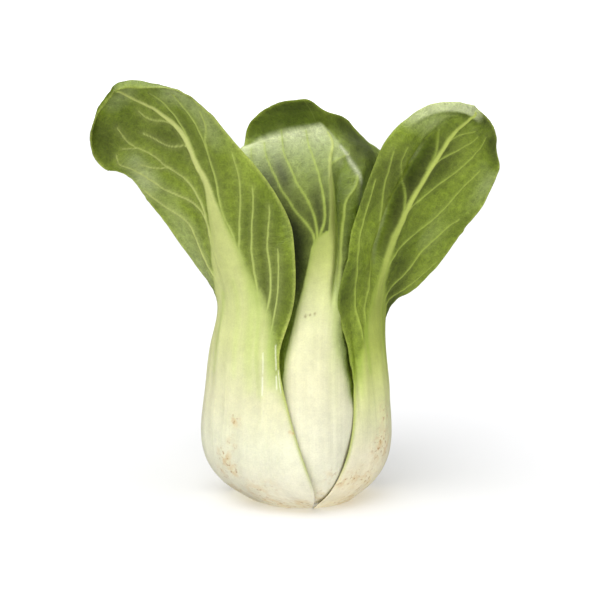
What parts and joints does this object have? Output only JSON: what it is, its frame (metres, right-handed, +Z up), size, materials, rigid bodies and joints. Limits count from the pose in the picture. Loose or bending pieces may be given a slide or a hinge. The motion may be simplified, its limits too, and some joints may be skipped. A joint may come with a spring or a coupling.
{
  "type": "bok choy",
  "caption": "Whole baby bok choy standing on its cut base: pale petioles swelling into a bulb, green spoon-shaped leaves fanning out in whorls.",
  "frame": {"origin": "middle of the cut base, where the plant stands on the floor", "axes": "+Z up from the cut base to the leaf tips, -Y the front, +X to the right seen from the front"},
  "size_m": [0.1566, 0.1093, 0.1666],
  "materials": {
    "stem": "moist cut plant tissue, matt",
    "outer_leaf": "waxy green blade on a pale satin petiole",
    "inner_leaf": "waxy green blade on a pale satin petiole",
    "heart_leaf": "tender yellow-green leaf, satin"
  },
  "bodies": {
    "root": {"stem_base": "stem", "leaf_front_left": "outer_leaf", "leaf_front_right": "outer_leaf", "leaf_back": "outer_leaf", "leaf_front_middle": "outer_leaf", "leaf_side_left": "outer_leaf", "leaf_back_right": "outer_leaf", "inner_leaf_back": "inner_leaf", "inner_leaf_left": "inner_leaf", "inner_leaf_right": "inner_leaf", "heart_leaf_front": "heart_leaf", "heart_leaf_back": "heart_leaf"}
  },
  "joints": []
}
